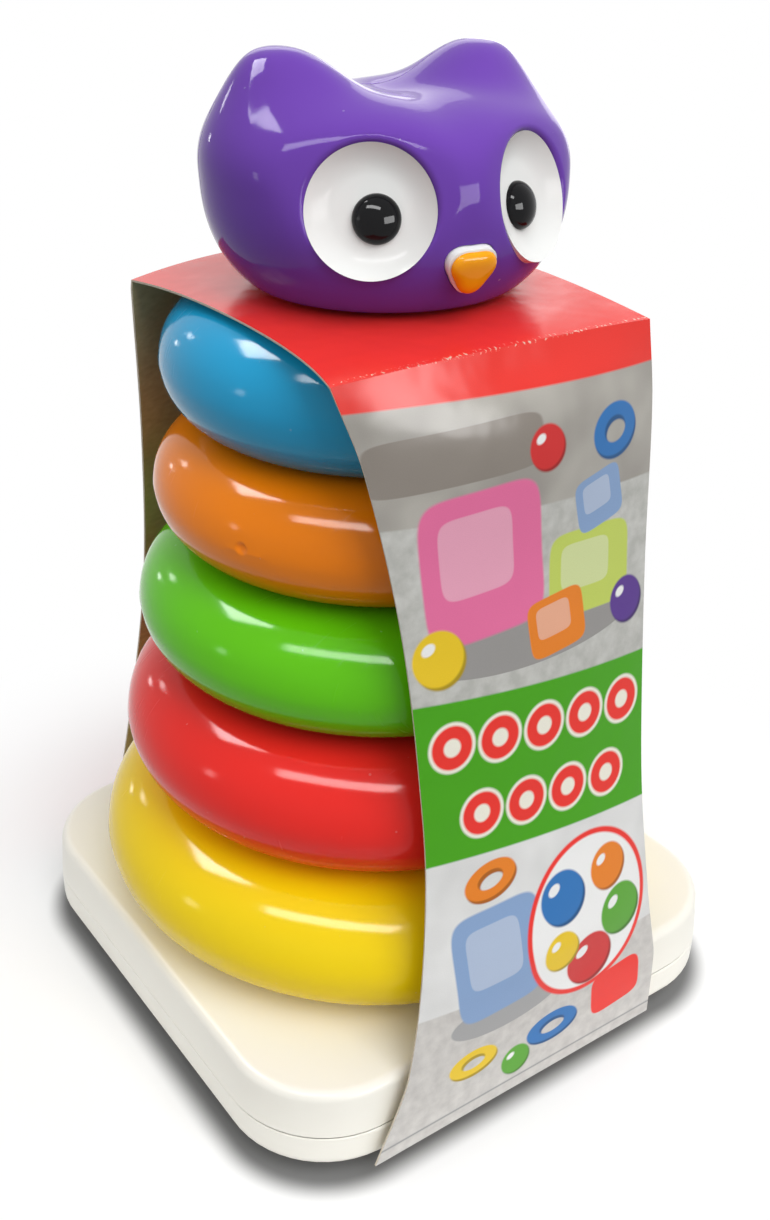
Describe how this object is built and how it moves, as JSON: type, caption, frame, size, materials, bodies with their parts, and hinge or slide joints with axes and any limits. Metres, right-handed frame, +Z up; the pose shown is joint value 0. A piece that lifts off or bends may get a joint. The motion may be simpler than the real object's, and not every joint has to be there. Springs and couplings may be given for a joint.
{
  "type": "stacking ring toy",
  "caption": "Toddler's stacking toy: hollow coloured rings on a tapered post over a rocking square base, topped by a rattling owl head and wrapped in an open folded card sleeve.",
  "frame": {"origin": "on the floor, under the middle of the post", "axes": "+Z up along the post, -Y towards the owl's face and the card's front panel, +X to the right of the front panel as a viewer sees it"},
  "size_m": [0.15, 0.1558, 0.2491],
  "materials": {
    "cream_plastic": "satin moulded",
    "white_plastic": "glossy moulded",
    "yellow_plastic": "glossy blow moulded",
    "red_plastic": "glossy blow moulded",
    "green_plastic": "glossy blow moulded",
    "orange_plastic": "glossy blow moulded",
    "blue_plastic": "glossy blow moulded",
    "purple_plastic": "high gloss moulded",
    "black_plastic": "high gloss moulded",
    "beak_plastic": "glossy moulded",
    "screw_steel": "zinc plated",
    "printed_card": "varnished print on folding card"
  },
  "bodies": {
    "base": {"base_top_shell": "cream_plastic", "base_rocker": "cream_plastic", "base_screw_1": "screw_steel", "base_screw_2": "screw_steel", "base_screw_3": "screw_steel", "base_screw_4": "screw_steel", "post": "white_plastic"},
    "yellow": {"ring_yellow": "yellow_plastic"},
    "red": {"ring_red": "red_plastic"},
    "green": {"ring_green": "green_plastic"},
    "orange": {"ring_orange": "orange_plastic"},
    "blue": {"ring_blue": "blue_plastic"},
    "sleeve": {"card_sleeve": "printed_card"},
    "head": {"head_front_shell": "purple_plastic", "head_rear_shell": "purple_plastic", "face_insert": "white_plastic", "pupil_right": "black_plastic", "pupil_left": "black_plastic", "beak": "beak_plastic", "head_socket": "white_plastic"},
    "beads": {"rattle_bead_1": "white_plastic", "rattle_bead_2": "white_plastic", "rattle_bead_3": "white_plastic", "rattle_bead_4": "white_plastic", "rattle_bead_5": "white_plastic"}
  },
  "joints": [
    {"name": "yellow_lift", "type": "slide", "parent": "base", "child": "yellow", "axis": [0, 0, 1], "range_m": [0, 0.2]},
    {"name": "red_lift", "type": "slide", "parent": "yellow", "child": "red", "axis": [0, 0, 1], "range_m": [0, 0.164]},
    {"name": "green_lift", "type": "slide", "parent": "red", "child": "green", "axis": [0, 0, 1], "range_m": [0, 0.128]},
    {"name": "orange_lift", "type": "slide", "parent": "green", "child": "orange", "axis": [0, 0, 1], "range_m": [0, 0.095]},
    {"name": "blue_lift", "type": "slide", "parent": "orange", "child": "blue", "axis": [0, 0, 1], "range_m": [0, 0.065]},
    {"name": "sleeve_lift", "type": "slide", "parent": "blue", "child": "sleeve", "axis": [0, 0, 1], "range_m": [0, 0.222]},
    {"name": "head_lift", "type": "slide", "parent": "sleeve", "child": "head", "axis": [0, 0, 1], "range_m": [0, 0.032]},
    {"name": "bead_roll", "type": "hinge", "parent": "head", "child": "beads", "pos_m": [0, 0, 0.2028], "axis": [0, 0, 1], "continuous": true}
  ]
}
